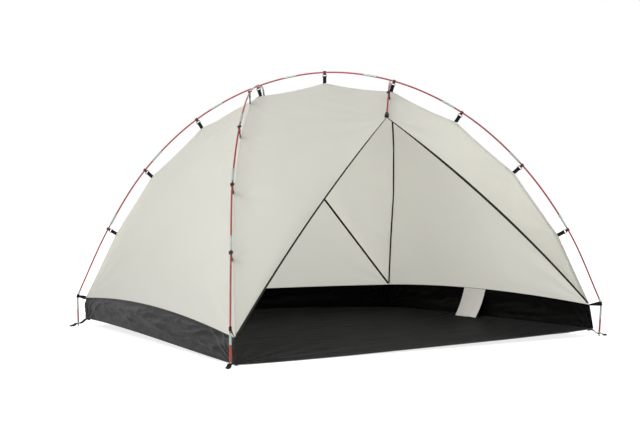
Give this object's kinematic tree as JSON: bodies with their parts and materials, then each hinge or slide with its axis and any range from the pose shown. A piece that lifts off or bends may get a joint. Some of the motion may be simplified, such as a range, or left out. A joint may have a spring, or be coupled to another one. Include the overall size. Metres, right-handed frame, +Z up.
{
  "type": "beach tent",
  "caption": "Free-standing beach tent: cloth canopy clipped inside an arched pole frame, with a lifted groundsheet and an open triangular doorway.",
  "frame": {"origin": "on the ground under the middle of the floor", "axes": "+Z up; +Y from the open front to the closed back; +X to the tent's right hand side seen from the front"},
  "size_m": [2.2458, 2.1194, 1.4126],
  "materials": {
    "red_anodised": "satin red anodised tube",
    "pale_cloth": "matt coated polyester",
    "dark_cloth": "coated groundsheet",
    "black_plastic": "moulded",
    "black_webbing": "woven webbing",
    "label_cloth": "woven flap"
  },
  "bodies": {
    "tent": {"back_apex_socket": "black_webbing", "back_panel": "pale_cloth", "back_roof": "pale_cloth", "back_side": "pale_cloth", "front_apex_socket": "black_webbing", "front_roof": "pale_cloth", "front_side": "pale_cloth", "groundsheet": "dark_cloth", "left_seam_tape": "black_webbing", "left_wall": "pale_cloth", "long_seam_tape": "black_webbing", "pole_a_foot_back_left": "red_anodised", "pole_a_foot_front_right": "red_anodised", "pole_a_rod_1": "red_anodised", "pole_a_rod_2": "red_anodised", "pole_a_rod_3": "red_anodised", "pole_a_rod_4": "red_anodised", "pole_a_rod_5": "red_anodised", "pole_a_rod_6": "red_anodised", "pole_a_rod_7": "red_anodised", "pole_a_rod_8": "red_anodised", "pole_a_rod_9": "red_anodised", "pole_b_elbow_and_stub": "red_anodised", "pole_b_foot": "red_anodised", "pole_b_rod_1": "red_anodised", "pole_b_rod_2": "red_anodised", "pole_b_rod_3": "red_anodised", "pole_b_rod_4": "red_anodised", "pole_c_elbow_and_stub": "red_anodised", "pole_c_foot": "red_anodised", "pole_c_rod_1": "red_anodised", "pole_c_rod_2": "red_anodised", "pole_c_rod_3": "red_anodised", "pole_c_rod_4": "red_anodised", "right_seam_tape": "black_webbing", "right_wall": "pale_cloth", "tub_wall_back": "dark_cloth", "tub_wall_left": "dark_cloth", "tub_wall_right": "dark_cloth"},
    "clip_a_1": {"clip_a_1": "black_plastic"},
    "clip_a_2": {"clip_a_2": "black_plastic"},
    "clip_a_3": {"clip_a_3": "black_plastic"},
    "clip_a_4": {"clip_a_4": "black_plastic"},
    "clip_a_5": {"clip_a_5": "black_plastic"},
    "clip_a_6": {"clip_a_6": "black_plastic"},
    "clip_a_7": {"clip_a_7": "black_plastic"},
    "clip_a_8": {"clip_a_8": "black_plastic"},
    "clip_a_9": {"clip_a_9": "black_plastic"},
    "clip_b_1": {"clip_b_1": "black_plastic"},
    "clip_b_2": {"clip_b_2": "black_plastic"},
    "clip_b_3": {"clip_b_3": "black_plastic"},
    "clip_b_4": {"clip_b_4": "black_plastic"},
    "clip_b_5": {"clip_b_5": "black_plastic"},
    "clip_c_1": {"clip_c_1": "black_plastic"},
    "clip_c_2": {"clip_c_2": "black_plastic"},
    "clip_c_3": {"clip_c_3": "black_plastic"},
    "clip_c_4": {"clip_c_4": "black_plastic"},
    "clip_c_5": {"clip_c_5": "black_plastic"},
    "label_flap": {"label_flap": "label_cloth"}
  },
  "joints": [
    {"name": "clip_a_1_swing", "type": "hinge", "parent": "tent", "child": "clip_a_1", "pos_m": [-0.8888, 0.9129, 0.54057], "axis": [0.3914, -0.2887, 0.8738], "range_deg": [-85, 0]},
    {"name": "clip_a_2_swing", "type": "hinge", "parent": "tent", "child": "clip_a_2", "pos_m": [-0.72918, 0.74893, 0.87075], "axis": [0.4652, -0.4664, 0.7524], "range_deg": [-85, 0]},
    {"name": "clip_a_3_swing", "type": "hinge", "parent": "tent", "child": "clip_a_3", "pos_m": [-0.50803, 0.5345, 1.14762], "axis": [0.5921, -0.5827, 0.5566], "range_deg": [-85, 0]},
    {"name": "clip_a_4_swing", "type": "hinge", "parent": "tent", "child": "clip_a_4", "pos_m": [-0.25666, 0.28258, 1.32028], "axis": [0.6575, -0.6914, 0.2994], "range_deg": [-85, 0]},
    {"name": "clip_a_5_swing", "type": "hinge", "parent": "tent", "child": "clip_a_5", "pos_m": [0, 0, 1.381], "axis": [0.6721, -0.7405, 0], "range_deg": [-85, 0]},
    {"name": "clip_a_6_swing", "type": "hinge", "parent": "tent", "child": "clip_a_6", "pos_m": [0.25666, -0.28258, 1.32028], "axis": [0.6575, -0.6914, -0.2994], "range_deg": [-85, 0]},
    {"name": "clip_a_7_swing", "type": "hinge", "parent": "tent", "child": "clip_a_7", "pos_m": [0.50803, -0.5345, 1.14762], "axis": [0.5921, -0.5827, -0.5566], "range_deg": [-85, 0]},
    {"name": "clip_a_8_swing", "type": "hinge", "parent": "tent", "child": "clip_a_8", "pos_m": [0.72918, -0.74893, 0.87075], "axis": [0.4652, -0.4664, -0.7524], "range_deg": [-85, 0]},
    {"name": "clip_a_9_swing", "type": "hinge", "parent": "tent", "child": "clip_a_9", "pos_m": [0.88881, -0.9129, 0.54057], "axis": [0.3914, -0.2887, -0.8738], "range_deg": [-85, 0]},
    {"name": "clip_b_1_swing", "type": "hinge", "parent": "tent", "child": "clip_b_1", "pos_m": [-0.94483, -0.78989, 0.46385], "axis": [0.2526, 0.4908, 0.8338], "range_deg": [-85, 0]},
    {"name": "clip_b_2_swing", "type": "hinge", "parent": "tent", "child": "clip_b_2", "pos_m": [-0.84926, -0.609, 0.76747], "axis": [0.3204, 0.5429, 0.7763], "range_deg": [-85, 0]},
    {"name": "clip_b_3_swing", "type": "hinge", "parent": "tent", "child": "clip_b_3", "pos_m": [-0.69611, -0.3723, 1.04762], "axis": [0.4443, 0.659, 0.6069], "range_deg": [-85, 0]},
    {"name": "clip_b_4_swing", "type": "hinge", "parent": "tent", "child": "clip_b_4", "pos_m": [-0.4971, -0.08632, 1.24515], "axis": [0.5394, 0.7695, 0.3419], "range_deg": [-85, 0]},
    {"name": "clip_b_5_swing", "type": "hinge", "parent": "tent", "child": "clip_b_5", "pos_m": [-0.20327, 0.32789, 1.25855], "axis": [0.3938, 0.4851, -0.7808], "range_deg": [-85, 0]},
    {"name": "clip_c_1_swing", "type": "hinge", "parent": "tent", "child": "clip_c_1", "pos_m": [0.94483, 0.78989, 0.46385], "axis": [-0.2526, -0.4908, 0.8338], "range_deg": [-85, 0]},
    {"name": "clip_c_2_swing", "type": "hinge", "parent": "tent", "child": "clip_c_2", "pos_m": [0.84926, 0.609, 0.76747], "axis": [-0.3204, -0.5429, 0.7763], "range_deg": [-85, 0]},
    {"name": "clip_c_3_swing", "type": "hinge", "parent": "tent", "child": "clip_c_3", "pos_m": [0.69611, 0.3723, 1.04762], "axis": [-0.4443, -0.659, 0.6069], "range_deg": [-85, 0]},
    {"name": "clip_c_4_swing", "type": "hinge", "parent": "tent", "child": "clip_c_4", "pos_m": [0.4971, 0.08632, 1.24515], "axis": [-0.5394, -0.7695, 0.3419], "range_deg": [-85, 0]},
    {"name": "clip_c_5_swing", "type": "hinge", "parent": "tent", "child": "clip_c_5", "pos_m": [0.20327, -0.32789, 1.25855], "axis": [-0.3938, -0.4851, -0.7808], "range_deg": [-85, 0]},
    {"name": "label_flap_lift", "type": "hinge", "parent": "tent", "child": "label_flap", "pos_m": [1.0303, 0.022, 0.18603], "axis": [0, 1, 0], "range_deg": [0, 65]}
  ]
}
